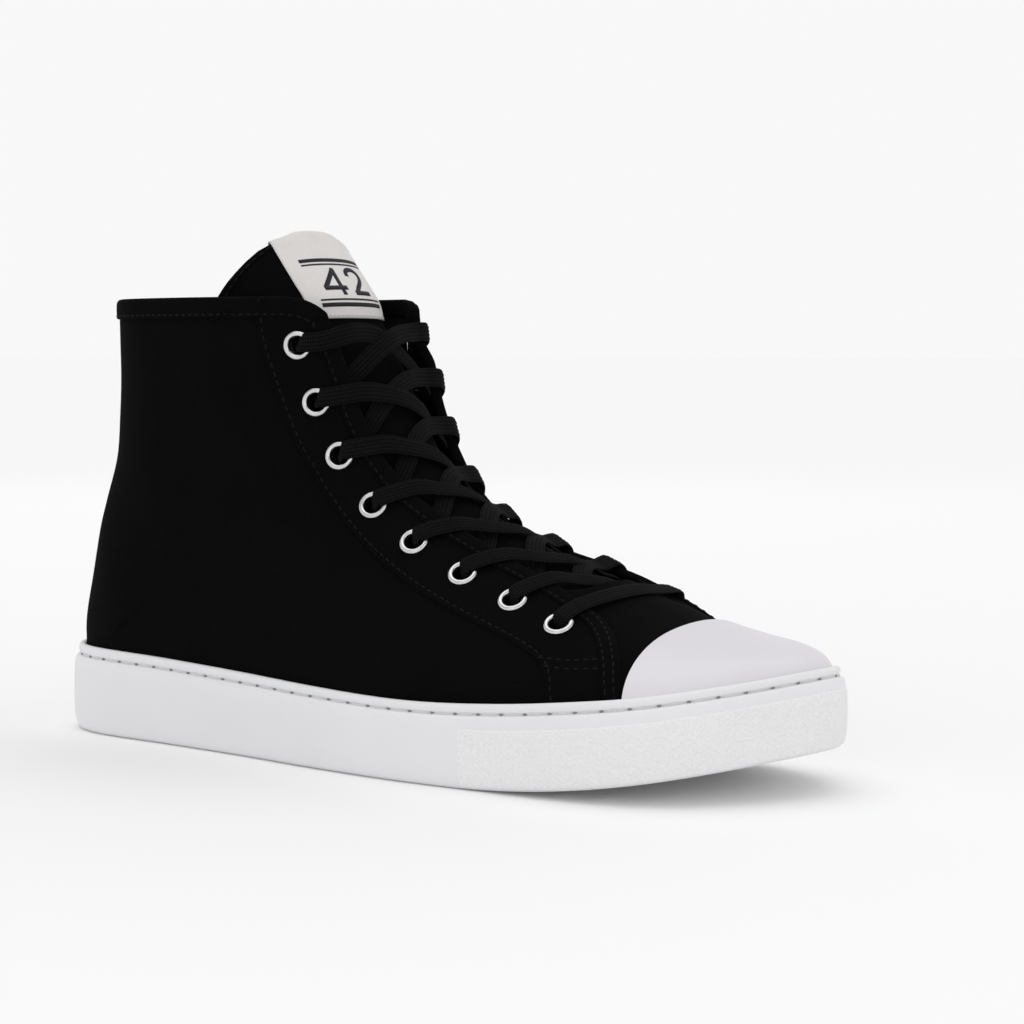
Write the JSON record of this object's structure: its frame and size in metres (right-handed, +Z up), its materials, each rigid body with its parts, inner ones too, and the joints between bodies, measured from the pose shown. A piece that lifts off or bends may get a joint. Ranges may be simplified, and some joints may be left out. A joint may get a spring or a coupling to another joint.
{
  "type": "high top sneaker",
  "caption": "Right-foot canvas high-top lace-up sneaker: hollow upper, soft tongue, metal eyelets, flat laces, rubber toe cap and a thick stitched cup sole; stands empty.",
  "frame": {"origin": "centre of the shoe's own footprint, on the ground", "axes": "+X to the toe, +Y to the medial (inner) side, +Z up"},
  "size_m": [0.2974, 0.1008, 0.1726],
  "materials": {
    "sole_rubber": "matte white moulded rubber, with a fine knurl round the forefoot",
    "toe_rubber": "smooth satin white rubber",
    "canvas": "black cotton canvas in a plain weave, with tonal stitching",
    "lining": "black drill lining and sock",
    "lace": "flat woven black lace with lengthwise ribs",
    "nickel": "bright nickel",
    "label": "off-white woven tape",
    "white_thread": "thick waxed white thread"
  },
  "bodies": {
    "root": {"outsole": "sole_rubber", "insole": "lining", "upper": "canvas", "toe_cap": "toe_rubber", "tongue": "canvas", "eyelet_lateral_1": "nickel", "eyelet_medial_1": "nickel", "eyelet_lateral_2": "nickel", "eyelet_medial_2": "nickel", "eyelet_lateral_3": "nickel", "eyelet_medial_3": "nickel", "eyelet_lateral_4": "nickel", "eyelet_medial_4": "nickel", "eyelet_lateral_5": "nickel", "eyelet_medial_5": "nickel", "eyelet_lateral_6": "nickel", "eyelet_medial_6": "nickel", "eyelet_lateral_7": "nickel", "eyelet_medial_7": "nickel", "eyelet_lateral_8": "nickel", "eyelet_medial_8": "nickel", "lace_crossing_1": "lace", "lace_crossing_2": "lace", "lace_crossing_3": "lace", "lace_crossing_4": "lace", "lace_crossing_5": "lace", "lace_crossing_6": "lace", "lace_crossing_7": "lace", "lace_bar_8": "lace"}
  },
  "joints": []
}
